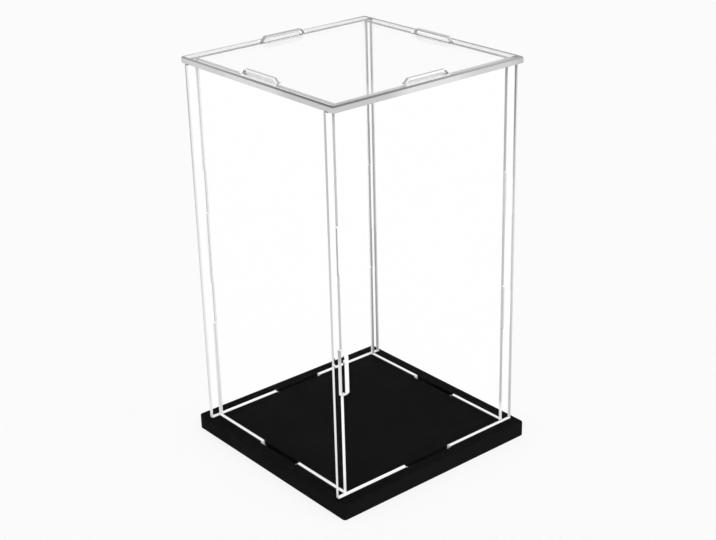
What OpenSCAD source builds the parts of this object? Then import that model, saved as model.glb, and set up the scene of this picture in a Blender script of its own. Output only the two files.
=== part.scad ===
// Flat-pack display case: five clear sheets that lock by tabs and slots,
// standing in a black base board. Millimetres, +Z up, with the origin at the
// middle of the base's underside and the front wall facing -Y.

/* [Case] */
// Distance over the outer faces of the left and right walls
case_w = 132; // [80:1:260]
// Distance over the outer faces of the front and back walls
case_d = 132; // [80:1:260]
// Height of the walls, from the base board to the lid
wall_h = 234; // [120:1:400]
// Length of the front and back walls past the side walls, at each end
wing = 5; // [3:0.5:15]

/* [Sheet] */
// Thickness of the walls
sheet_t = 3; // [2:0.5:6]
// Clearance on each side of a tab in its slot
fit_gap = 0.15; // [0.05:0.05:0.4]

/* [Tabs] */
// Length of the tab on top of each wall
top_tab_l = 32; // [15:1:60]
// Length of the tab under each wall
bottom_tab_l = 36; // [15:1:60]
// Reach of a bottom tab into the base board
bottom_tab_reach = 5; // [3:0.5:6]
// Length of each tab on the upright edges of the side walls
side_tab_l = 28; // [12:1:40]
// Distance between the middles of the two tabs on an upright edge
side_tab_pitch = 74; // [48:1:80]
// Height that a tab stands proud of the sheet it passes through
tab_proud = 2.5; // [1:0.5:8]
// Cut on the two outer corners of each tab
tab_chamfer = 2.5; // [0.5:0.5:5]

/* [Lid] */
// Thickness of the lid
lid_t = 4; // [2:0.5:8]
// Overhang of the lid past the outer faces of the walls, all round
lid_lip = 4.5; // [1:0.5:12]
// Corner radius of the lid
lid_corner_r = 1; // [0.5:0.5:4]

/* [Base] */
// Margin of the base board past the ends of the front and back walls
base_end_margin = 3; // [2:0.5:40]
// Margin of the base board past the faces of the front and back walls
base_face_margin = 8; // [6:1:40]
// Thickness of the base board
base_h = 10; // [8:0.5:25]
// Corner radius of the base board, seen from above
base_corner_r = 2; // [0.5:0.5:10]
// Space left under a bottom tab in its slot
slot_floor_gap = 0.5; // [0.2:0.1:1]

/* [Hidden] */
$fn = 64;

// Plan of the case
face_wall_w = case_w + 2 * wing;
side_wall_w = case_d - 2 * sheet_t;
face_mid_y = (case_d - sheet_t) / 2;
side_mid_x = (case_w - sheet_t) / 2;

// Tabs: what goes through a sheet stands proud of it
lid_tab_reach = lid_t + tab_proud;
side_tab_reach = sheet_t + tab_proud;
slot_t = sheet_t + 2 * fit_gap;
side_tab_heights = [for (row = [-1, 1]) wall_h / 2 + row * side_tab_pitch / 2];

// Plates above and below the walls
lid_w = case_w + 2 * lid_lip;
lid_d = case_d + 2 * lid_lip;
base_w = face_wall_w + 2 * base_end_margin;
base_d = case_d + 2 * base_face_margin;
base_slot_depth = bottom_tab_reach + slot_floor_gap;
lid_z = base_h + wall_h;

// Overlap of a tab's root with its own sheet, and of a cut with the air
root = 1;

clear_sheet = [0.86, 0.93, 0.96, 0.35];
black_board = [0.05, 0.05, 0.055];

// A tab that stands up from the line y = 0, with its two outer corners cut
module tab(length, reach) {
    cut = min(tab_chamfer, reach / 2);
    half = length / 2;
    polygon([
        [-half, -root],
        [half, -root],
        [half, reach - cut],
        [half - cut, reach],
        [-half + cut, reach],
        [-half, reach - cut]
    ]);
}

// The slot that takes a tab of this length, lying along X
module slot(length) {
    square([length + 2 * fit_gap, slot_t], center = true);
}

// The four places of the walls, seen from above, with X along each wall
module at_each_wall() {
    for (side = [-1, 1]) {
        translate([0, side * face_mid_y]) children();
        translate([side * side_mid_x, 0]) rotate(90) children();
    }
}

// A rectangle with round corners, centred on the origin
module rounded_plan(w, d, r) {
    square([w - 2 * r, d], center = true);
    square([w, d - 2 * r], center = true);
    for (x = [-1, 1], y = [-1, 1])
        translate([x * (w / 2 - r), y * (d / 2 - r)]) circle(r);
}

// Outline of a wall with its top and bottom tabs, standing on the line y = 0
module wall_outline(w) {
    translate([-w / 2, 0]) square([w, wall_h]);
    translate([0, wall_h]) tab(top_tab_l, lid_tab_reach);
    rotate(180) tab(bottom_tab_l, bottom_tab_reach);
}

// Front or back wall: a tabbed sheet with slots for the side walls
module face_wall_outline() {
    difference() {
        wall_outline(face_wall_w);
        for (side = [-1, 1], height = side_tab_heights)
            translate([side * side_mid_x, height]) rotate(90) slot(side_tab_l);
    }
}

// Left or right wall: a tabbed sheet that reaches through both face walls
module side_wall_outline() {
    wall_outline(side_wall_w);
    for (side = [-1, 1], height = side_tab_heights)
        translate([side * side_wall_w / 2, height]) rotate(-90 * side) tab(side_tab_l, side_tab_reach);
}

// Stands a face wall up, with its thickness centred on y = mid_y
module stand_face_wall(mid_y) {
    color(clear_sheet)
        translate([0, mid_y + sheet_t / 2, base_h]) rotate([90, 0, 0])
            linear_extrude(sheet_t) face_wall_outline();
}

// Stands a side wall up, with its thickness centred on x = mid_x
module stand_side_wall(mid_x) {
    color(clear_sheet)
        translate([mid_x - sheet_t / 2, 0, base_h]) rotate([90, 0, 90])
            linear_extrude(sheet_t) side_wall_outline();
}

// Black board with a blind slot for the bottom tab of each wall
module base_board() {
    color(black_board) difference() {
        linear_extrude(base_h) rounded_plan(base_w, base_d, base_corner_r);
        translate([0, 0, base_h - base_slot_depth])
            linear_extrude(base_slot_depth + root) at_each_wall() slot(bottom_tab_l);
    }
}

module front_wall() {
    stand_face_wall(-face_mid_y);
}

module back_wall() {
    stand_face_wall(face_mid_y);
}

module left_wall() {
    stand_side_wall(-side_mid_x);
}

module right_wall() {
    stand_side_wall(side_mid_x);
}

// Clear sheet that drops over the top tabs of the four walls
module lid_panel() {
    color(clear_sheet) translate([0, 0, lid_z])
        linear_extrude(lid_t) difference() {
            rounded_plan(lid_w, lid_d, lid_corner_r);
            at_each_wall() slot(top_tab_l);
        }
}

base_board();
front_wall();
back_wall();
left_wall();
right_wall();
lid_panel();
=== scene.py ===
"""Looks of a flat-pack display case: clear tabbed sheets that stand in a black base board.

Every length is in metres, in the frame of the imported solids: +Z up, the front wall facing -Y.
"""

import logging
import math
from abc import ABC, abstractmethod
from dataclasses import dataclass, field
from enum import Enum, IntEnum

import bpy
import numpy as np
from mathutils import Matrix, Vector
from mathutils.geometry import tessellate_polygon


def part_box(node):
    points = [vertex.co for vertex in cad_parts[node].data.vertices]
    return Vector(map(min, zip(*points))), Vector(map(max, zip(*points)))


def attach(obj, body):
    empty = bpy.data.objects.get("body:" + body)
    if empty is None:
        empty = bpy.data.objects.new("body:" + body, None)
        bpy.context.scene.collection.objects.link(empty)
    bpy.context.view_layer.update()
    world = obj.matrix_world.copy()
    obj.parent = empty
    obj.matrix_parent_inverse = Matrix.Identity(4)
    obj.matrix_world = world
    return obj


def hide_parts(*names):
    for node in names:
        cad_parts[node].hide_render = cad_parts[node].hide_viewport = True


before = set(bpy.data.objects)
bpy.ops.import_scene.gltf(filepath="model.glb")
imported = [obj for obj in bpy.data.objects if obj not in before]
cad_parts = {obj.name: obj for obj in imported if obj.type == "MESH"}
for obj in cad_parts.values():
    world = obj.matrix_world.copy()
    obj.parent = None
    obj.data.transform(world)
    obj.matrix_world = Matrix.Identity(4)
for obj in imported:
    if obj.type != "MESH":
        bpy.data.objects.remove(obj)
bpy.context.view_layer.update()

Colour = tuple[float, float, float]
Socket = bpy.types.NodeSocket
Shaded = bpy.types.Material | bpy.types.World
Amount = float | Socket
Span = tuple[float, float]

LOG = logging.getLogger("display_case")
MM = 0.001
NOISE_SPAN: Span = (0.3, 0.7)

# Strips of a sheet's rim across its thickness: an arris, an outer strip, the rest and an arris
STRIPS = 4
OUTER_STRIPS = 2
SLOT_SIDES = 4


class Zone(IntEnum):
    """Kinds of surface on a piece, which are also the numbers of its material slots.

    On the lid, which has no foot and no tabs, FOOT and TAB are the bright sides of its slots.
    """

    FACE = 0
    EDGE = 1
    ARRIS = 2
    FOOT = 3
    TAB = 4
    SLOT = 5
    RIM = 6
    TOP = 7


class Way(Enum):
    """Ways along which a tone can change: a set of coordinates and a direction in it."""

    WIDTH = ("Object", (1, 0, 0))
    DEPTH = ("Object", (0, 1, 0))
    HEIGHT = ("Object", (0, 0, 1))
    DIAGONAL = ("Object", (1, 1, 0))
    COUNTER_DIAGONAL = ("Object", (1, -1, 0))
    THICKNESS = ("UV", (0, 1, 0))


class Stand(Enum):
    """Ways that a sheet lies in the case: its run, its rise and its outward side."""

    FRONT_WALL = ((1, 0, 0), (0, 0, 1), (0, -1, 0))
    BACK_WALL = ((-1, 0, 0), (0, 0, 1), (0, 1, 0))
    LEFT_WALL = ((0, -1, 0), (0, 0, 1), (-1, 0, 0))
    RIGHT_WALL = ((0, 1, 0), (0, 0, 1), (1, 0, 0))
    FLAT = ((1, 0, 0), (0, 1, 0), (0, 0, 1))

    @property
    def run(self) -> tuple[int, int, int]:
        """Direction of the sheet's run."""
        return self.value[0]


@dataclass(frozen=True)
class Joinery:
    """Sizes of the tabs and slots that lock the sheets, as the solids have them."""

    top_tab: float = 32 * MM
    bottom_tab: float = 36 * MM
    bottom_reach: float = 5 * MM
    side_tab: float = 28 * MM
    side_pitch: float = 74 * MM
    proud: float = 2.5 * MM
    chamfer: float = 2.5 * MM
    fit_gap: float = 0.15 * MM
    slot_floor_gap: float = 0.5 * MM
    lid_corner: float = 1 * MM
    base_corner: float = 2 * MM


@dataclass(frozen=True)
class CasePlan:
    """Places that the pieces share, read from the frame."""

    sheet: float
    lid: float
    base_top: float
    wall_height: float
    face_mid_y: float
    side_mid_x: float

    @classmethod
    def from_frame(cls) -> "CasePlan":
        """Reads the shared places from the boxes of the solids.

        Returns:
            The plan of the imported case.
        """
        base_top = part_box("base_board")[1].z
        lid_low, lid_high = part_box("lid_panel")
        back_low, back_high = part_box("back_wall")
        right_low, right_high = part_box("right_wall")
        return cls(
            sheet=back_high.y - back_low.y,
            lid=lid_high.z - lid_low.z,
            base_top=base_top,
            wall_height=lid_low.z - base_top,
            face_mid_y=(back_low.y + back_high.y) / 2,
            side_mid_x=(right_low.x + right_high.x) / 2,
        )


def tab_points(middle: float, length: float, reach: float, chamfer: float) -> np.ndarray:
    """Outline of a tab: up one flank, over two cut corners and down the other flank.

    Args:
        middle: Place of the tab's middle along its edge.
        length: Length of the tab along the edge.
        reach: Height of the tab above the edge.
        chamfer: Cut on its two outer corners.

    Returns:
        Six rows of distance along the edge and distance out of it.
    """
    half = length / 2
    along = np.array([-half, -half, chamfer - half, half - chamfer, half, half]) + middle
    out = np.array([0, reach - chamfer, reach, reach, reach - chamfer, 0])
    return np.stack([along, out], axis=1)


def tabbed_edge(start: tuple[float, float], end: tuple[float, float], *tabs: np.ndarray) -> np.ndarray:
    """One straight edge of an outline, with tabs that stand out on its right-hand side.

    A row (a, o) of a tab lands at start + a * direction + o * outward.

    Args:
        start: First point of the edge.
        end: Last point of the edge, which the next edge adds.
        tabs: Outlines from tab_points, in order along the edge.

    Returns:
        The edge's points, without its end.
    """
    first = np.array(start, float)
    step = np.array(end, float) - first
    direction = step / np.linalg.norm(step)
    outward = np.array([direction[1], -direction[0]])
    rows = np.vstack([np.zeros((1, 2)), *tabs])
    return first + rows[:, :1] * direction + rows[:, 1:] * outward


def slot_loop(middle: tuple[float, float], along: float, across: float) -> np.ndarray:
    """A rectangular slot, clockwise, so that the sheet lies on its left.

    Args:
        middle: Centre of the slot.
        along: Its size along the first axis.
        across: Its size along the second axis.

    Returns:
        Its four corners.
    """
    signs = np.array([[-1, -1], [-1, 1], [1, 1], [1, -1]])
    return np.array(middle) + signs * np.array([along, across]) / 2


def rounded_rectangle(width: float, depth: float, radius: float, steps: int) -> np.ndarray:
    """A rectangle with round corners, counter-clockwise: a quarter circle about each corner's centre.

    Args:
        width: Size along the first axis.
        depth: Size along the second axis.
        radius: Radius of the corners.
        steps: Segments in each quarter circle.

    Returns:
        The outline's points.
    """
    corner = np.array([[1, 1], [-1, 1], [-1, -1], [1, -1]])
    centres = corner * (np.array([width, depth]) / 2 - radius)
    turns = np.arange(len(corner))[:, None] * math.pi / 2 + np.linspace(0, math.pi / 2, steps + 1)
    arcs = radius * np.stack([np.cos(turns), np.sin(turns)], axis=2)
    return (centres[:, None, :] + arcs).reshape(-1, 2)


def mitres(loop: np.ndarray) -> np.ndarray:
    """Way that each corner of a closed outline moves for an inset of one, into the material on its left.

    With the left normals n and m of the two edges at a corner, it is (n + m) / (1 + n.m).

    Args:
        loop: Corners of the outline.

    Returns:
        One vector for each corner.
    """
    ahead = np.roll(loop, -1, axis=0) - loop
    ahead /= np.linalg.norm(ahead, axis=1, keepdims=True)
    after = np.stack([-ahead[:, 1], ahead[:, 0]], axis=1)
    before = np.roll(after, 1, axis=0)
    return (before + after) / (1 + np.sum(before * after, axis=1, keepdims=True))


def rounded_profile(upper: float, lower: float, height: float, steps: int) -> np.ndarray:
    """Side of a board with rounded edges: a quarter circle, a straight side and a quarter circle.

    Args:
        upper: Radius of the upper edge.
        lower: Radius of the lower edge.
        height: Thickness of the board.
        steps: Segments in each quarter circle.

    Returns:
        Rows of inset into the board and depth below its upper face.
    """
    turn = np.linspace(0, math.pi / 2, steps + 1)
    top = upper * np.stack([1 - np.sin(turn), 1 - np.cos(turn)], axis=1)
    bottom = lower * np.stack([1 - np.cos(turn), np.sin(turn) - 1], axis=1)
    return np.vstack([top, bottom + np.array([0, height])])


@dataclass
class Shell:
    """A closed mesh in the making, in run, rise and outward coordinates."""

    points: list[np.ndarray] = field(default_factory=list)
    faces: list[np.ndarray] = field(default_factory=list)
    zones: list[np.ndarray] = field(default_factory=list)
    places: list[np.ndarray] = field(default_factory=list)
    round_faces: list[np.ndarray] = field(default_factory=list)

    def add_rim(self, loop: np.ndarray, profile: np.ndarray, zones: np.ndarray, top: float) -> np.ndarray:
        """Carries a profile round a closed outline, with mitred corners.

        The point at corner i and profile row j is loop[i] + inset[j] * mitre[i], at top - depth[j].
        The map's first axis is the way run along the outline and its second the way across the profile.

        Args:
            loop: Corners of the outline, with the material on its left.
            profile: Rows of inset and depth, from the upper face down.
            zones: Zone of each strip of the profile, or of each segment and strip.
            top: Outward place of the upper face.

        Returns:
            Point numbers, one row for each corner and one column for each row of the profile.
        """
        corners, rows = len(loop), len(profile)
        flat = loop[:, None, :] + profile[None, :, :1] * mitres(loop)[:, None, :]
        level = np.broadcast_to(top - profile[:, 1], (corners, rows))[..., None]
        index = sum(map(len, self.points)) + np.arange(corners * rows).reshape(corners, rows)
        following = np.roll(index, -1, axis=0)
        quads = np.stack([index[:, :-1], index[:, 1:], following[:, 1:], following[:, :-1]], axis=2)
        run = np.cumsum(np.linalg.norm(np.roll(loop, -1, axis=0) - loop, axis=1))
        across = np.cumsum(np.linalg.norm(np.diff(profile, axis=0), axis=1))
        near, far = np.r_[0, run[:-1]][:, None], run[:, None]
        upper, lower = np.r_[0, across[:-1]][None, :], across[None, :]
        corner_places = [(near, upper), (near, lower), (far, lower), (far, upper)]
        places = np.stack([np.stack(np.broadcast_arrays(*c), axis=2) for c in corner_places], axis=2)
        self.points.append(np.concatenate([flat, level], axis=2).reshape(-1, 3))
        self.faces.append(quads.reshape(-1, 4))
        self.zones.append(np.broadcast_to(zones, (corners, rows - 1)).reshape(-1))
        self.places.append(places.reshape(-1, 2))
        self.round_faces.append(np.full(corners * (rows - 1), True))
        return index

    def add_cap(self, rings: list[np.ndarray], zone: Zone, upward: bool) -> None:
        """Fills the flat area inside the first ring and outside the others.

        The map's axes are the run and the rise.

        Args:
            rings: Point numbers of the outer ring and of the slots' rings.
            zone: Zone of the new faces.
            upward: True if the faces look outwards, False if they look the other way.
        """
        index = np.concatenate(rings)
        points = np.concatenate(self.points)
        fill = np.array(tessellate_polygon([points[ring].tolist() for ring in rings]))
        a, b, c = np.moveaxis(points[index[fill]][..., :2], 1, 0)
        area = (b - a)[:, 0] * (c - a)[:, 1] - (b - a)[:, 1] * (c - a)[:, 0]
        turned = (area > 0) != upward
        fill[turned] = fill[turned][:, ::-1]
        triangles = index[fill]
        self.faces.append(triangles)
        self.zones.append(np.full(len(triangles), int(zone)))
        self.places.append(points[triangles.reshape(-1), :2])
        self.round_faces.append(np.full(len(triangles), False))

    def to_object(self, name: str, origin: Vector, stand: Stand, sharp: float) -> bpy.types.Object:
        """Places the shell in the case: origin + run * first + rise * second + outward * third.

        Args:
            name: Name of the object.
            origin: Place of the shell's own zero.
            stand: The three directions.
            sharp: Angle from which two faces meet in a hard edge.

        Returns:
            The new object, at the frame's origin.
        """
        points = np.concatenate(self.points) @ np.array(stand.value, float) + np.array(origin)
        mesh = bpy.data.meshes.new(name)
        faces = [row for part in self.faces for row in part.tolist()]
        mesh.from_pydata(points.tolist(), [], faces)
        mesh.polygons.foreach_set("material_index", np.concatenate(self.zones).astype(np.int32))
        mesh.polygons.foreach_set("use_smooth", np.concatenate(self.round_faces))
        places = mesh.uv_layers.new(name="sheet_map")
        places.data.foreach_set("uv", np.concatenate(self.places).astype(np.float32).reshape(-1))
        mesh.set_sharp_from_angle(angle=sharp)
        mesh.update()
        mesh.validate()
        piece = bpy.data.objects.new(name, mesh)
        bpy.context.scene.collection.objects.link(piece)
        return piece


class ShaderTree:
    """The nodes of a material or a world, with short ways to add and join them."""

    def __init__(self, owner: Shaded) -> None:
        """Starts with no nodes.

        Args:
            owner: The material or world.
        """
        owner.use_nodes = True
        self.owner = owner
        self.nodes, self.links = owner.node_tree.nodes, owner.node_tree.links
        self.nodes.clear()

    def add(
        self, kind: str, inputs: dict[str | int, object] | None = None, **settings: object
    ) -> bpy.types.Node:
        """Adds a node.

        Args:
            kind: Its type.
            inputs: Values or sockets for its inputs, by name or place.
            settings: Values for its properties.

        Returns:
            The node.
        """
        node = self.nodes.new(kind)
        for name, value in settings.items():
            setattr(node, name, value)
        for name, value in (inputs or {}).items():
            if isinstance(value, Socket):
                self.links.new(value, node.inputs[name])
            else:
                node.inputs[name].default_value = value
        return node

    def noise(self, place: Socket, scale: tuple[float, float, float], detail: float) -> Socket:
        """Noise over a place, with its own scale on each axis.

        Args:
            place: Coordinates to read.
            scale: Features in a metre, on each axis.
            detail: Octaves of finer noise.

        Returns:
            The noise, about 0.5.
        """
        spread = self.add("ShaderNodeMapping", {"Vector": place, "Scale": scale})
        inputs = {"Vector": spread.outputs[0], "Scale": 1.0, "Detail": detail}
        return self.add("ShaderNodeTexNoise", inputs).outputs["Fac"]

    def along(self, way: Way) -> Socket:
        """Distance along a way, in metres.

        Args:
            way: The way.

        Returns:
            The distance from the zero of the way's coordinates.
        """
        space, direction = way.value
        place = self.add("ShaderNodeTexCoord").outputs[space]
        product = self.add("ShaderNodeVectorMath", {0: place, 1: direction}, operation="DOT_PRODUCT")
        return product.outputs["Value"]

    def between(self, share: Socket, low: Amount, high: Amount, span: Span = NOISE_SPAN) -> Socket:
        """Spreads a value over a range, smoothly from the one end to the other.

        Args:
            share: The value, by default noise.
            low: Result at the low end.
            high: Result at the high end.
            span: The value's own low and high ends.

        Returns:
            The result.
        """
        ends = {"From Min": span[0], "From Max": span[1], "To Min": low, "To Max": high}
        spread = self.add("ShaderNodeMapRange", {"Value": share, **ends}, interpolation_type="SMOOTHSTEP")
        return spread.outputs["Result"]

    def blend(self, share: Socket, low: Colour, high: Colour) -> Socket:
        """Blends two colours.

        Args:
            share: From 0, the first colour, to 1, the second.
            low: The first colour.
            high: The second colour.

        Returns:
            The colour.
        """
        node = self.add("ShaderNodeMix", {"Factor": share}, data_type="RGBA")
        first, second = (socket for socket in node.inputs if socket.type == "RGBA")
        first.default_value, second.default_value = (*low, 1), (*high, 1)
        return next(socket for socket in node.outputs if socket.type == "RGBA")

    def bump(self, height: Socket, strength: float, distance: float) -> Socket:
        """Turns a height into a normal, for a share of the effect and a depth in metres."""
        node = self.add("ShaderNodeBump", {"Height": height, "Strength": strength, "Distance": distance})
        return node.outputs[0]

    def mix(self, share: Socket, first: Socket, second: Socket) -> Socket:
        """Mixes two shaders: all the first at a share of 0, and all the second at 1."""
        return self.add("ShaderNodeMixShader", {0: share, 1: first, 2: second}).outputs[0]

    def finish(self, surface: Socket, output: str = "ShaderNodeOutputMaterial") -> Shaded:
        """Joins a shader to the output and hands over the material or world."""
        self.add(output, {"Surface": surface})
        return self.owner


@dataclass(frozen=True)
class Fade:
    """A tone that turns smoothly into another along a way, each of them a number or a fade of its own."""

    way: Way
    span: Span
    start: "Tone"
    end: "Tone"

    def amount(self, tree: ShaderTree) -> Socket:
        """Adds the fade's nodes to a tree and hands over the tone."""
        low, high = (end.amount(tree) if isinstance(end, Fade) else end for end in (self.start, self.end))
        return tree.between(tree.along(self.way), low, high, self.span)


Tone = float | Fade


@dataclass(frozen=True)
class ClearFace:
    """Polished broad face of a clear sheet, which lamps shine through."""

    name: str
    ior: float
    tint: float = 1.0
    shine: float = 0.5
    roughness: Span = (0.0, 0.02)
    haze_scale: float = 45
    wave_scale: float = 18
    wave_depth: float = 0.01 * MM

    def material(self) -> bpy.types.Material:
        """Clear plastic with faint haze and the slight waves of cast sheet.

        Returns:
            The material.
        """
        tree = ShaderTree(bpy.data.materials.new(self.name))
        place = tree.add("ShaderNodeTexCoord").outputs["Object"]
        haze = tree.noise(place, (self.haze_scale,) * 3, detail=3)
        wave = tree.noise(place, (self.wave_scale,) * 3, detail=0)
        sheet = tree.add(
            "ShaderNodeBsdfPrincipled",
            {
                "Base Color": (*grey(self.tint), 1),
                "Roughness": tree.between(haze, *self.roughness),
                "IOR": self.ior,
                "Specular IOR Level": self.shine,
                "Transmission Weight": 1.0,
                "Normal": tree.bump(wave, strength=0.1, distance=self.wave_depth),
            },
        )
        path = tree.add("ShaderNodeLightPath")
        open_way = tree.add("ShaderNodeBsdfTransparent")
        clear = sheet.outputs[0]
        for ray in ("Is Diffuse Ray", "Is Shadow Ray"):
            clear = tree.mix(path.outputs[ray], clear, open_way.outputs[0])
        return tree.finish(clear)


@dataclass(frozen=True)
class CutEdge:
    """Cut edge of a clear sheet, with fine lines across its thickness.

    The glow is painted light: an emission that lifts the edge where it lies in shade, though it is no
    lamp.
    """

    name: str
    tone: Tone
    lines_tone: float = 0.03
    roughness: Span = (0.3, 0.5)
    shine: float = 0.2
    glow: float = 0.0
    lines_along: float = 4200
    lines_across: float = 120
    line_depth: float = 0.01 * MM

    def material(self) -> bpy.types.Material:
        """Frosted plastic whose lines follow the sheet's own map.

        Returns:
            The material.
        """
        tree = ShaderTree(bpy.data.materials.new(self.name))
        place = tree.add("ShaderNodeTexCoord").outputs["UV"]
        lines = tree.noise(place, (self.lines_along, self.lines_across, 1), detail=2)
        tone = self.tone.amount(tree) if isinstance(self.tone, Fade) else self.tone
        worn = tree.between(lines, 1 - self.lines_tone, 1)
        colour = tree.add("ShaderNodeMath", {0: tone, 1: worn}, operation="MULTIPLY")
        edge = tree.add(
            "ShaderNodeBsdfPrincipled",
            {
                "Base Color": colour.outputs[0],
                "Roughness": tree.between(lines, *self.roughness),
                "Specular IOR Level": self.shine,
                "Normal": tree.bump(lines, strength=0.3, distance=self.line_depth),
                # painted glow: the edge emits light, though it is no lamp
                "Emission Color": (*grey(1), 1),
                "Emission Strength": self.glow,
            },
        )
        return tree.finish(edge.outputs[0])


@dataclass(frozen=True)
class BlackBoard:
    """Satin black board with a fine grain."""

    name: str
    low: Colour
    high: Colour
    roughness: Span = (0.5, 0.65)
    shine: float = 0.005
    grain_scale: float = 2600
    cloud_scale: float = 35
    grain_depth: float = 0.02 * MM

    def material(self) -> bpy.types.Material:
        """Black plastic with cloudy shine over a fine grain.

        Returns:
            The material.
        """
        tree = ShaderTree(bpy.data.materials.new(self.name))
        place = tree.add("ShaderNodeTexCoord").outputs["Object"]
        grain = tree.noise(place, (self.grain_scale,) * 3, detail=2)
        cloud = tree.noise(place, (self.cloud_scale,) * 3, detail=4)
        board = tree.add(
            "ShaderNodeBsdfPrincipled",
            {
                "Base Color": tree.blend(tree.between(grain, 0, 1), self.low, self.high),
                "Roughness": tree.between(cloud, *self.roughness),
                "Specular IOR Level": self.shine,
                "Normal": tree.bump(grain, strength=0.25, distance=self.grain_depth),
            },
        )
        return tree.finish(board.outputs[0])


def grey(level: float) -> Colour:
    """A neutral colour of this level."""
    return (level, level, level)


BRIGHT = 0.95
MIDDLE: Span = (-30 * MM, 30 * MM)
NEAR_FAR: Span = (-15 * MM, 15 * MM)

# Heights over which the board's edge passes behind an upright line, as the photograph's camera sees it
# below these heights the upright lines are painted bright: a painted glow against the black board
FRONT_TURN: Span = (92 * MM, 104 * MM)
SIDE_TURN: Span = (18 * MM, 26 * MM)


def painted_glow_over_board(turn: Span, tone: Tone) -> Fade:
    """Tone of an upright line: a painted glow, bright where the black board lies behind it, and the given
    tone above.
    """
    return Fade(Way.HEIGHT, turn, BRIGHT, tone)


def painted_near_far(near: Tone, far: Tone) -> Fade:
    """Painted light and shade: a tone that differs between the front left half of the case and the back
    right half.
    """
    return Fade(Way.DIAGONAL, NEAR_FAR, near, far)


def painted_rim_tone(corner: float, tab: float, end: float) -> Fade:
    """Painted shade along a near side of the lid's rim: tones from the front left corner, beside the tab
    and past it.
    """
    past_tab = Fade(Way.DIAGONAL, (-54 * MM, -36 * MM), tab, end)
    return Fade(Way.DIAGONAL, (-104 * MM, -86 * MM), corner, past_tab)


@dataclass(frozen=True)
class PaintedShadeLine:
    """A painted shade line along a bright edge, over a part of the sheet's thickness, counted from the
    outer side.

    With a start or an end outside the sheet, the line runs on to that side.
    """

    tone: Tone
    start: float = -1 * MM
    end: float = 5 * MM
    soft: float = 0.3 * MM

    def fade(self) -> Fade:
        """Tone across the edge: bright, then the line's painted tone, then bright again."""
        ending = Fade(Way.THICKNESS, (self.end - self.soft, self.end + self.soft), self.tone, BRIGHT)
        return Fade(Way.THICKNESS, (self.start - self.soft, self.start + self.soft), BRIGHT, ending)


@dataclass(frozen=True)
class UprightPaintedShade:
    """Painted shade lines along the upright edges, with painted tones that differ at each corner of the
    case and with height.

    At each corner the wing is an end of the front or back wall, and the butt is the side wall's end
    beside it. The line in a slot carries on that of the butt behind it.
    """

    front_left_wing: PaintedShadeLine = PaintedShadeLine(
        painted_glow_over_board(FRONT_TURN, Fade(Way.HEIGHT, (100 * MM, 220 * MM), 0.72, 0.57)), start=0.9 * MM
    )
    front_left_butt: PaintedShadeLine = PaintedShadeLine(painted_glow_over_board(FRONT_TURN, 0.52), start=0.9 * MM, end=2.6 * MM)
    front_right_wing: PaintedShadeLine = PaintedShadeLine(
        painted_glow_over_board(
            SIDE_TURN,
            Fade(Way.HEIGHT, (140 * MM, 240 * MM), Fade(Way.HEIGHT, (30 * MM, 90 * MM), 0.82, 0.72), 0.3),
        ),
        start=1.9 * MM,
    )
    front_right_butt: PaintedShadeLine = PaintedShadeLine(
        painted_glow_over_board(SIDE_TURN, Fade(Way.HEIGHT, (140 * MM, 240 * MM), 0.5, 0.38)), start=1.3 * MM
    )
    back_left_wing: PaintedShadeLine = PaintedShadeLine(
        painted_glow_over_board(SIDE_TURN, Fade(Way.HEIGHT, (110 * MM, 240 * MM), 0.74, 0.55)), end=1.7 * MM
    )
    back_left_butt: PaintedShadeLine = PaintedShadeLine(
        painted_glow_over_board(SIDE_TURN, Fade(Way.HEIGHT, (25 * MM, 100 * MM), 0.86, 0.66)),
        start=1.0 * MM,
        end=2.3 * MM,
    )
    back_right_wing: PaintedShadeLine = PaintedShadeLine(Fade(Way.HEIGHT, (196 * MM, 206 * MM), 0.53, 0.12), end=1.7 * MM)
    back_right_butt: PaintedShadeLine = PaintedShadeLine(Fade(Way.HEIGHT, (196 * MM, 206 * MM), 0.41, 0.12), end=1.7 * MM)
    front_left_slot: Tone = painted_glow_over_board(FRONT_TURN, 0.5)
    front_right_slot: Tone = 0.72
    slot_line: float = 1.5 * MM
    left_wing: Span = (-69 * MM, -68 * MM)
    right_wing: Span = (68 * MM, 69 * MM)

    def edge(self) -> Fade:
        """Tone of the walls' upright edges.

        Returns:
            The tone.
        """
        left, right = self.left_wing, self.right_wing
        front_left = Fade(Way.WIDTH, left, self.front_left_wing.fade(), self.front_left_butt.fade())
        front_right = Fade(Way.WIDTH, right, self.front_right_butt.fade(), self.front_right_wing.fade())
        back_left = Fade(Way.WIDTH, left, self.back_left_wing.fade(), self.back_left_butt.fade())
        back_right = Fade(Way.WIDTH, right, self.back_right_butt.fade(), self.back_right_wing.fade())
        front = Fade(Way.WIDTH, MIDDLE, front_left, front_right)
        back = Fade(Way.WIDTH, MIDDLE, back_left, back_right)
        return Fade(Way.DEPTH, MIDDLE, front, back)

    def slot(self) -> Fade:
        """Tone of the walls' slots.

        Returns:
            The tone.
        """
        back_left = PaintedShadeLine(self.back_left_butt.tone, end=self.slot_line).fade()
        left = Fade(Way.DEPTH, MIDDLE, self.front_left_slot, back_left)
        right = Fade(Way.DEPTH, MIDDLE, self.front_right_slot, self.back_right_butt.tone)
        return Fade(Way.WIDTH, MIDDLE, left, PaintedShadeLine(right, start=self.slot_line).fade())


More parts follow.
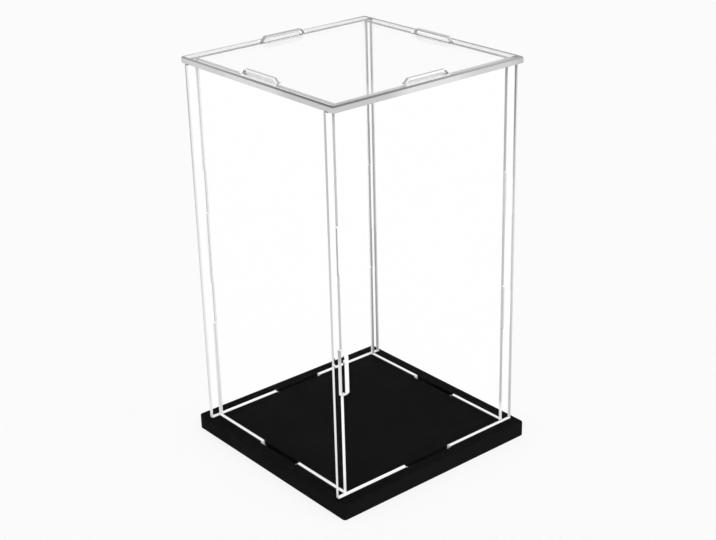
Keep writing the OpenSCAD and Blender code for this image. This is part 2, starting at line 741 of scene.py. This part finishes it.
@dataclass(frozen=True)
class FootGlowAndShade:
    """Painted glow and shade along the edges that stand on the board: a bright line over a part of the
    thickness, and a near-black rest.

    The bright part is on the inner side at the front and on the left, and on the outer side at the back
    and on the right. It is wider under the front and back walls.
    """

    # painted shade: the near-black rest of each foot
    dark: float = 0.02
    front: Span = (0.5 * MM, 0.7 * MM)
    back: Span = (2.4 * MM, 2.6 * MM)
    left: Span = (1.1 * MM, 1.3 * MM)
    right: Span = (1.8 * MM, 2.0 * MM)
    face_walls: Span = (63.1 * MM, 63.4 * MM)

    def tone(self) -> Fade:
        """Tone of the walls' feet.

        Returns:
            The tone.
        """
        front = Fade(Way.THICKNESS, self.front, self.dark, BRIGHT)
        back = Fade(Way.THICKNESS, self.back, BRIGHT, self.dark)
        left = Fade(Way.THICKNESS, self.left, self.dark, BRIGHT)
        right = Fade(Way.THICKNESS, self.right, BRIGHT, self.dark)
        sides = Fade(Way.WIDTH, MIDDLE, left, right)
        near, far = self.face_walls
        behind = Fade(Way.DEPTH, (near, far), sides, back)
        return Fade(Way.DEPTH, (-far, -near), front, behind)


@dataclass(frozen=True)
class LidPaintedLightAndShade:
    """Painted light and shade on the lid's edges and slots, and on the walls' top edges and tabs: tones
    that differ between the near and far sides.

    The near sides are the front and the left one, and the far sides the back and the right one.
    """

    near_arris: Tone = Fade(Way.DIAGONAL, (-130 * MM, -20 * MM), 0.18, 0.37)
    far_arris: Tone = 0.28
    left_rim: Tone = painted_rim_tone(corner=0.65, tab=0.8, end=0.71)
    front_rim: Tone = painted_rim_tone(corner=0.55, tab=0.72, end=0.6)
    far_rim: Tone = Fade(Way.WIDTH, (30 * MM, 68 * MM), 0.62, 0.3)
    near_top: Tone = Fade(Way.WIDTH, (-60 * MM, -40 * MM), 0.3, 0.4)
    far_top: Tone = Fade(Way.WIDTH, (40 * MM, 62 * MM), 0.01, 0.03)
    near_tab: Tone = Fade(Way.THICKNESS, (0.7 * MM, 1.3 * MM), BRIGHT, 0.48)
    far_tab: Tone = Fade(Way.WIDTH, (20 * MM, 60 * MM), 0.42, 0.56)
    slot_side: Tone = 0.97
    # painted shade: the dark line along the far slots of the lid
    slot_line: Tone = Fade(Way.THICKNESS, (2.2 * MM, 2.6 * MM), 0.97, 0.15)
    # painted glow on the far sides of the lid's slots, which lie in shade
    slot_painted_glow: float = 0.25
    top_tabs: Span = (180 * MM, 240 * MM)
    front_left_corner: Span = (-1 * MM, 1 * MM)

    def arris(self) -> Fade:
        """Tone of the lid's upper arris."""
        return painted_near_far(self.near_arris, self.far_arris)

    def rim(self) -> Fade:
        """Tone of the lid's rim, whose two near sides meet at the front left corner."""
        near = Fade(Way.COUNTER_DIAGONAL, self.front_left_corner, self.left_rim, self.front_rim)
        return painted_near_far(near, self.far_rim)

    def top(self) -> Fade:
        """Tone of the walls' top edges, which show through the lid."""
        return painted_near_far(self.near_top, self.far_top)

    def tab(self) -> Fade:
        """Tone of the walls' tabs: those on top have painted shade lines, and the lower ones are bright.
        """
        return Fade(Way.HEIGHT, self.top_tabs, BRIGHT, painted_near_far(self.near_tab, self.far_tab))


@dataclass(frozen=True)
class Palette:
    """The finishes of the walls, the lid and the board, in the order of the zones."""

    wall: tuple[bpy.types.Material, ...]
    lid: tuple[bpy.types.Material, ...]
    board: tuple[bpy.types.Material, ...]

    @classmethod
    def mix(cls) -> "Palette":
        """Makes each finish once.

        Returns:
            The finishes of the walls, the lid and the board.
        """
        upright, above = UprightPaintedShade(), LidPaintedLightAndShade()
        wall = (
            ClearFace("clear_wall", ior=1.01),
            CutEdge("cut_edge", upright.edge()),
            CutEdge("cut_arris", above.arris()),
            CutEdge("cut_foot", FootGlowAndShade().tone()),
            CutEdge("cut_tab", above.tab()),
            CutEdge("cut_slot", upright.slot()),
            CutEdge("cut_rim", above.rim()),
            CutEdge("cut_top", above.top()),
        )
        board = (
            # the sides and the arris are painted lighter than the face: lit and shaded copies of one
            # black
            BlackBoard("board_face", low=grey(0.005), high=grey(0.007)),
            BlackBoard("board_side_painted_light", low=grey(0.007), high=grey(0.0095)),
            BlackBoard("board_arris_painted_light", low=grey(0.006), high=grey(0.009)),
        )
        walls = tuple(finish.material() for finish in wall)
        lid = list(walls)
        lid[Zone.FACE] = ClearFace("clear_lid", ior=1.4, tint=0.965, shine=0.1).material()
        lid[Zone.SLOT] = CutEdge("lid_slot", above.slot_line).material()
        lid[Zone.FOOT] = CutEdge("lid_slot_near", above.slot_side).material()
        lid[Zone.TAB] = CutEdge("lid_slot_far_painted_glow", above.slot_side, glow=above.slot_painted_glow).material()
        return cls(wall=walls, lid=tuple(lid), board=tuple(finish.material() for finish in board))


@dataclass
class Piece(ABC):
    """A piece that stands for one solid of the frame and rides on that solid's body."""

    name: str
    node: str
    body: str
    slot: str
    plan: CasePlan
    joinery: Joinery
    sharp: float = math.radians(30)

    @abstractmethod
    def build(self) -> bpy.types.Object:
        """Makes the piece's mesh, in its place."""

    def dress(self, materials: tuple[bpy.types.Material, ...]) -> bpy.types.Object:
        """Builds the piece, gives it its finishes and ties it to the frame.

        Args:
            materials: One finish for each zone.

        Returns:
            The finished object.
        """
        piece = self.build()
        for material in materials:
            piece.data.materials.append(material)
        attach(piece, self.body)
        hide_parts(self.node)
        LOG.info("%s: %d faces on body %s", piece.name, len(piece.data.polygons), self.body)
        return piece


@dataclass
class ClearSheet(Piece):
    """A clear sheet, cut to an outline, with its sharp edges broken.

    The straight part of each edge has an outer strip, which can have a finish of its own.
    """

    upper_arris: float = 0.3 * MM
    lower_arris: float = 0.3 * MM
    strip: float = 0.45 * MM
    slot_strip: float = 1.4 * MM
    seat: float = 0.03 * MM

    @abstractmethod
    def outline(self) -> tuple[np.ndarray, list[np.ndarray]]:
        """The sheet's outer loop and the loops of its slots."""

    @abstractmethod
    def stand(self) -> tuple[Vector, Stand]:
        """The sheet's place and directions."""

    @abstractmethod
    def rim_zones(self, loop: np.ndarray) -> np.ndarray:
        """Zones of the outer rim, for each strip, or for each segment and strip."""

    @abstractmethod
    def thickness(self) -> float:
        """Thickness of the sheet."""

    def slot_zones(self, loop: np.ndarray) -> np.ndarray:
        """Zones of a slot's low run, high rise, high run and low rise sides, by strips: all clear."""
        return np.array([Zone.FACE])

    def build(self) -> bpy.types.Object:
        """Closes the sheet: a rim round each loop, and two flat faces.

        The rim's profile is a cut arris, a strip of the straight edge, its rest and a cut arris. The
        whole sheet is a hair smaller than its solid, so that faces which touch don't coincide.

        Returns:
            The sheet's object.
        """
        outer, slots = self.outline()
        shell, top = Shell(), self.thickness() - self.seat
        rims = [shell.add_rim(outer, self.profile(self.strip), self.rim_zones(outer), top)]
        side = self.profile(self.slot_strip)
        rims += [shell.add_rim(slot, side, self.slot_zones(slot), top) for slot in slots]
        shell.add_cap([rim[:, 0] for rim in rims], Zone.FACE, upward=True)
        shell.add_cap([rim[:, -1] for rim in rims], Zone.FACE, upward=False)
        return shell.to_object(self.name, *self.stand(), self.sharp)

    def profile(self, strip: float) -> np.ndarray:
        """Profile of a rim, from the upper face down.

        Args:
            strip: Width of the first strip of the straight edge.

        Returns:
            Rows of inset into the sheet and depth below its upper face.
        """
        upper, lower, depth = self.upper_arris, self.lower_arris, self.thickness() - 2 * self.seat
        inset = np.array([upper, 0, 0, 0, lower]) + self.seat
        return np.stack([inset, [0, upper, upper + strip, depth - lower, depth]], axis=1)


@dataclass
class Wall(ClearSheet):
    """A standing sheet with a tab above, which holds the lid, and one below, which sits in the board."""

    @abstractmethod
    def width(self) -> float:
        """Width of the wall between its upright edges."""

    def thickness(self) -> float:
        """All four walls are cut from one sheet."""
        return self.plan.sheet

    def rows(self) -> np.ndarray:
        """Heights of the two rows of side tabs."""
        return self.plan.wall_height / 2 + np.array([-1, 1]) * self.joinery.side_pitch / 2

    def rim_zones(self, loop: np.ndarray) -> np.ndarray:
        """Sorts the wall's rim into its upright edges, the top edge, the foot and the tabs.

        At the front of the case the two outer strips of an upright edge are polished clear.

        Args:
            loop: Corners of the wall's outline.

        Returns:
            One zone for each segment and strip.
        """
        across, height = ((loop + np.roll(loop, -1, axis=0)) / 2).T[..., None]
        half = self.width() / 2
        origin, stand = self.stand()
        at_front = origin.y + across * stand.run[1] < 0
        edge = np.where(at_front & (np.arange(STRIPS) < OUTER_STRIPS), Zone.FACE, Zone.EDGE)
        # side tabs are clear, but for a frosted one whose pale edges are a painted glow
        beside = np.where(self.frosted(across, height), Zone.TAB, Zone.FACE)
        tabs = np.where(abs(across) > half, beside, Zone.TAB)
        upright = np.where(np.isclose(abs(across), half), edge, tabs)
        level = np.where(np.isclose(height, self.plan.wall_height), Zone.TOP, upright)
        return np.where(np.isclose(height, 0), Zone.FOOT, level)

    def frosted(self, across: np.ndarray, height: np.ndarray) -> np.ndarray:
        """True for each segment of a side tab that is frosted, by its place and height: none."""
        return np.full_like(across, False)

    def frame_loop(self, side_tabs: bool) -> np.ndarray:
        """Outline of a wall, counter-clockwise from its lower left corner.

        Args:
            side_tabs: True if tabs stand on the upright edges.

        Returns:
            The outline's points.
        """
        cut, height, half = self.joinery, self.plan.wall_height, self.width() / 2
        below = tab_points(half, cut.bottom_tab, cut.bottom_reach, cut.chamfer)
        above = tab_points(half, cut.top_tab, self.plan.lid + cut.proud, cut.chamfer)
        reach = self.plan.sheet + cut.proud
        beside = [tab_points(z, cut.side_tab, reach, cut.chamfer) for z in self.rows() if side_tabs]
        return np.vstack([
            tabbed_edge((-half, 0), (half, 0), below),
            tabbed_edge((half, 0), (half, height), *beside),
            tabbed_edge((half, height), (-half, height), above),
            tabbed_edge((-half, height), (-half, 0), *beside),
        ])


@dataclass
class FaceWall(Wall):
    """Front or back wall, with slots that take the side walls' tabs."""

    def slot_zones(self, loop: np.ndarray) -> np.ndarray:
        """Draws a painted shade line on one side, which carries on that of the edge behind it.

        The upper slot at the front left has the line on its two outer strips only.

        Args:
            loop: Corners of the slot.

        Returns:
            One zone for each side and strip.
        """
        origin, _ = self.stand()
        across, height = loop.mean(axis=0)
        narrow = origin.y < 0 and across < 0 and height > self.plan.wall_height / 2
        lined = np.where(narrow & (np.arange(STRIPS) >= OUTER_STRIPS), Zone.FACE, Zone.SLOT)
        return np.vstack([lined, np.full((SLOT_SIDES - 1, STRIPS), Zone.FACE)])

    def width(self) -> float:
        """Width over both wings."""
        low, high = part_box(self.node)
        return high.x - low.x

    def outline(self) -> tuple[np.ndarray, list[np.ndarray]]:
        """The wall's outline, with a slot for each tab of the side walls.

        Returns:
            The outer loop and the loops of the four slots.
        """
        cut = self.joinery
        along, across = self.plan.sheet + 2 * cut.fit_gap, cut.side_tab + 2 * cut.fit_gap
        slots = [
            slot_loop((side * self.plan.side_mid_x, row), along, across)
            for side in (-1, 1) for row in self.rows()
        ]
        return self.frame_loop(side_tabs=False), slots

    def stand(self) -> tuple[Vector, Stand]:
        """Stands the wall across the case, on the board, with its inner face at the shell's zero.

        Returns:
            The place of the shell's zero and the wall's directions.
        """
        low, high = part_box(self.node)
        inner, stand = (high.y, Stand.FRONT_WALL) if low.y < 0 else (low.y, Stand.BACK_WALL)
        return Vector((0, inner, self.plan.base_top)), stand


@dataclass
class SideWall(Wall):
    """Left or right wall, whose side tabs reach through the front and back walls.

    Its tab run is 1 or -1 for the end of the run with a frosted tab, or 0 if there is none; that tab's
    pale edges are a painted glow over the black board.
    """

    glow_tab_run: int = 0

    def frosted(self, across: np.ndarray, height: np.ndarray) -> np.ndarray:
        """The lower tab at the wall's frosted end, if it has one: a painted glow over the black board."""
        return (across * self.glow_tab_run > 0) & (height < self.plan.wall_height / 2)

    def width(self) -> float:
        """Distance between the front and back walls."""
        return 2 * self.plan.face_mid_y - self.plan.sheet

    def outline(self) -> tuple[np.ndarray, list[np.ndarray]]:
        """The wall's outline, which has no slots."""
        return self.frame_loop(side_tabs=True), []

    def stand(self) -> tuple[Vector, Stand]:
        """Stands the wall along the case, on the board, with its inner face at the shell's zero.

        Returns:
            The place of the shell's zero and the wall's directions.
        """
        low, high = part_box(self.node)
        inner, stand = (high.x, Stand.LEFT_WALL) if low.x < 0 else (low.x, Stand.RIGHT_WALL)
        return Vector((inner, 0, self.plan.base_top)), stand


def wall_slots(plan: CasePlan, length: float, width: float) -> list[np.ndarray]:
    """The four slots over or under the walls, seen from above.

    Args:
        plan: Places of the walls.
        length: Length of each slot along its wall.
        width: Width of each slot.

    Returns:
        The slots' loops.
    """
    across = [slot_loop((0, side * plan.face_mid_y), length, width) for side in (-1, 1)]
    along = [slot_loop((side * plan.side_mid_x, 0), width, length) for side in (-1, 1)]
    return across + along


@dataclass
class LidPanel(ClearSheet):
    """Clear lid that drops over the walls' top tabs."""

    upper_arris: float = 0.9 * MM
    corner_steps: int = 5

    def slot_zones(self, loop: np.ndarray) -> np.ndarray:
        """Brightens the two sides that look to the front and to the left.

        At the back and on the right of the lid they also carry a painted glow, and painted shade lines
        stand across from them.

        Args:
            loop: Corners of the slot.

        Returns:
            One zone for each side.
        """
        across, bright = (Zone.SLOT, Zone.TAB) if loop.sum() > 0 else (Zone.FACE, Zone.FOOT)
        return np.array([across, bright, bright, across])[:, None]

    def thickness(self) -> float:
        """The lid is cut from a thicker sheet than the walls."""
        return self.plan.lid

    def rim_zones(self, loop: np.ndarray) -> np.ndarray:
        """A dark arris above the edge, all the way round: painted shade."""
        return np.array([Zone.ARRIS, Zone.RIM, Zone.RIM, Zone.RIM])

    def outline(self) -> tuple[np.ndarray, list[np.ndarray]]:
        """The lid's rounded outline, with a slot over each wall.

        Returns:
            The outer loop and the loops of the four slots.
        """
        low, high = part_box(self.node)
        cut = self.joinery
        width = self.plan.sheet + 2 * cut.fit_gap
        loop = rounded_rectangle(high.x - low.x, high.y - low.y, cut.lid_corner, self.corner_steps)
        return loop, wall_slots(self.plan, cut.top_tab + 2 * cut.fit_gap, width)

    def stand(self) -> tuple[Vector, Stand]:
        """Lays the lid on the walls."""
        return Vector((0, 0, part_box(self.node)[0].z)), Stand.FLAT


@dataclass
class BaseBoard(Piece):
    """Black board with rounded edges and a blind slot for each wall's bottom tab."""

    top_round: float = 0.8 * MM
    under_round: float = 0.5 * MM
    slot_arris: float = 0.2 * MM
    corner_steps: int = 8
    round_steps: int = 4

    def build(self) -> bpy.types.Object:
        """Closes the board: a rounded rim, four pockets with floors, and two flat faces.

        Returns:
            The board's object.
        """
        low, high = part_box(self.node)
        cut, shell, top = self.joinery, Shell(), high.z - low.z
        loop = rounded_rectangle(high.x - low.x, high.y - low.y, cut.base_corner, self.corner_steps)
        profile = rounded_profile(self.top_round, self.under_round, top, self.round_steps)
        arris = np.full(self.round_steps, int(Zone.ARRIS))
        rim = shell.add_rim(loop, profile, np.r_[arris, int(Zone.EDGE), arris], top)
        deep = cut.bottom_reach + cut.slot_floor_gap
        mouth = np.array([[self.slot_arris, 0], [0, self.slot_arris], [0, deep]])
        slots = wall_slots(self.plan, cut.bottom_tab + 2 * cut.fit_gap, self.plan.sheet + 2 * cut.fit_gap)
        pockets = [shell.add_rim(slot, mouth, np.array([Zone.ARRIS, Zone.EDGE]), top) for slot in slots]
        shell.add_cap([rim[:, 0], *(pocket[:, 0] for pocket in pockets)], Zone.FACE, upward=True)
        shell.add_cap([rim[:, -1]], Zone.FACE, upward=False)
        for pocket in pockets:
            shell.add_cap([pocket[:, -1]], Zone.FACE, upward=True)
        return shell.to_object(self.name, Vector((0, 0, low.z)), Stand.FLAT, self.sharp)


@dataclass(frozen=True)
class PhotoCamera:
    """Camera at the photograph's viewing angle, in degrees, millimetres of lens and metres."""

    lens: float = 71.78
    azimuth: float = -39.42
    elevation: float = 23.49
    roll: float = -1.45
    distance: float = 0.8771
    aim_right: float = 1.2 * MM
    aim_height: float = 113.3 * MM
    sensor: float = 36
    near_clip: float = 10 * MM

    def build(self) -> None:
        """Places the camera and makes it the scene's own."""
        a, e, r = (math.radians(v) for v in (self.azimuth, self.elevation, self.roll))
        back = Vector((math.sin(a) * math.cos(e), -math.cos(a) * math.cos(e), math.sin(e)))
        level = Vector((math.cos(a), math.sin(a), 0))
        rise = back.cross(level)
        right = math.cos(r) * level + math.sin(r) * rise
        up = math.cos(r) * rise - math.sin(r) * level
        aim = Vector((0, 0, self.aim_height)) + self.aim_right * level
        data = bpy.data.cameras.new("photo_camera")
        data.lens = self.lens
        data.sensor_fit = "HORIZONTAL"
        data.sensor_width = self.sensor
        data.clip_start = self.near_clip
        camera = bpy.data.objects.new("photo_camera", data)
        turn = Matrix((right, up, back)).transposed().to_4x4()
        camera.matrix_world = Matrix.Translation(aim + self.distance * back) @ turn
        bpy.context.scene.collection.objects.link(camera)
        bpy.context.scene.camera = camera


def seen_ray(tree: ShaderTree, bare: float, through: float) -> tuple[Socket, Socket]:
    """Tells the rays that carry what the camera sees from those that carry light.

    Args:
        tree: Nodes to add to.
        bare: Level of the backdrop.
        through: Its level behind a clear sheet.

    Returns:
        One for rays of the first kind and zero for the others, and the level that such a ray sees.
    """
    path = tree.add("ShaderNodeLightPath").outputs
    seen, clear = path["Is Camera Ray"], path["Is Transmission Ray"]
    for other in (path["Is Glossy Ray"], clear):
        seen = tree.add("ShaderNodeMath", {0: seen, 1: other}, operation="MAXIMUM").outputs[0]
    level = tree.add("ShaderNodeMapRange", {"Value": clear, "To Min": bare, "To Max": through})
    return seen, level.outputs["Result"]


@dataclass(frozen=True)
class Studio:
    """Pale floor, an even white surround and one soft lamp."""

    floor_size: float = 16
    floor_cells: int = 8
    floor_drop: float = 0.1 * MM
    floor_white: float = 0.94
    floor_glow: float = 0.88
    fill: float = 0.8
    backdrop: float = 0.965
    through_sheet: float = 1.0
    key: float = 0.98
    key_from: tuple[float, float, float] = (0.3, -0.8, 0.9)
    key_spread: float = 50
    bounces: int = 32
    sheet_bounces: int = 28

    def build(self) -> None:
        """Makes the floor, the surround, the lamp and the view settings."""
        self.lay_floor()
        self.hang_surround()
        self.hang_lamp()
        scene = bpy.context.scene
        scene.view_settings.view_transform = "Standard"
        scene.cycles.max_bounces = self.bounces
        scene.cycles.transmission_bounces = self.sheet_bounces
        scene.cycles.transparent_max_bounces = self.bounces

    def lay_floor(self) -> None:
        """A flat grid under the board: x and y run evenly over the floor's size."""
        side = np.linspace(-self.floor_size / 2, self.floor_size / 2, self.floor_cells + 1)
        x, y = np.meshgrid(side, side)
        points = np.stack([x, y, np.full_like(x, -self.floor_drop)], axis=2).reshape(-1, 3)
        index = np.arange(len(points)).reshape(x.shape)
        quads = np.stack([index[:-1, :-1], index[:-1, 1:], index[1:, 1:], index[1:, :-1]], axis=2)
        mesh = bpy.data.meshes.new("studio_floor")
        mesh.from_pydata(points.tolist(), [], quads.reshape(-1, 4).tolist())
        tree = ShaderTree(bpy.data.materials.new("studio_floor"))
        paint = tree.add("ShaderNodeBsdfDiffuse", {"Color": (*grey(self.floor_white), 1)})
        seen, level = seen_ray(tree, self.backdrop, self.through_sheet)
        glow = tree.add("ShaderNodeEmission", {"Color": (*grey(1), 1), "Strength": level})
        share = tree.add("ShaderNodeMath", {0: seen, 1: self.floor_glow}, operation="MULTIPLY")
        mixed = tree.mix(share.outputs[0], paint.outputs[0], glow.outputs[0])
        mesh.materials.append(tree.finish(mixed))
        floor = bpy.data.objects.new("studio_floor", mesh)
        bpy.context.scene.collection.objects.link(floor)

    def hang_surround(self) -> None:
        """An even world, which the camera and the clear sheets see as the pale backdrop."""
        tree = ShaderTree(bpy.data.worlds.new("studio_surround"))
        seen, level = seen_ray(tree, self.backdrop, self.through_sheet)
        fill, backdrop = (
            tree.add("ShaderNodeBackground", {"Color": (*grey(1), 1), "Strength": strength}).outputs[0]
            for strength in (self.fill, level)
        )
        bpy.context.scene.world = tree.finish(tree.mix(seen, fill, backdrop), "ShaderNodeOutputWorld")

    def hang_lamp(self) -> None:
        """One wide, soft lamp, high in front of the case."""
        data = bpy.data.lights.new("soft_key", "SUN")
        data.energy = self.key
        data.angle = math.radians(self.key_spread)
        lamp = bpy.data.objects.new("soft_key", data)
        lamp.rotation_euler = Vector(self.key_from).to_track_quat("Z", "Y").to_euler()
        bpy.context.scene.collection.objects.link(lamp)


def wall_names(side: str) -> tuple[str, str, str, str]:
    """Names of a wall's piece, solid, body and slot."""
    return f"{side}_sheet", f"{side}_wall", "walls", "clear_sheet"


def main() -> None:
    """Builds and dresses the case from the board up, then sets the studio round it."""
    logging.basicConfig(level=logging.INFO, format="%(name)s %(message)s")
    plan, joinery, palette = CasePlan.from_frame(), Joinery(), Palette.mix()
    BaseBoard("black_base", "base_board", "base", "black_board", plan, joinery).dress(palette.board)
    for side in ("front", "back"):
        FaceWall(*wall_names(side), plan, joinery).dress(palette.wall)
    # the left wall's front lower tab is painted pale: a painted glow over the black board
    for side, run in (("left", 1), ("right", 0)):
        SideWall(*wall_names(side), plan, joinery, glow_tab_run=run).dress(palette.wall)
    LidPanel("lid_sheet", "lid_panel", "lid", "clear_sheet", plan, joinery).dress(palette.lid)
    Studio().build()
    PhotoCamera().build()


if __name__ == "__main__":
    main()
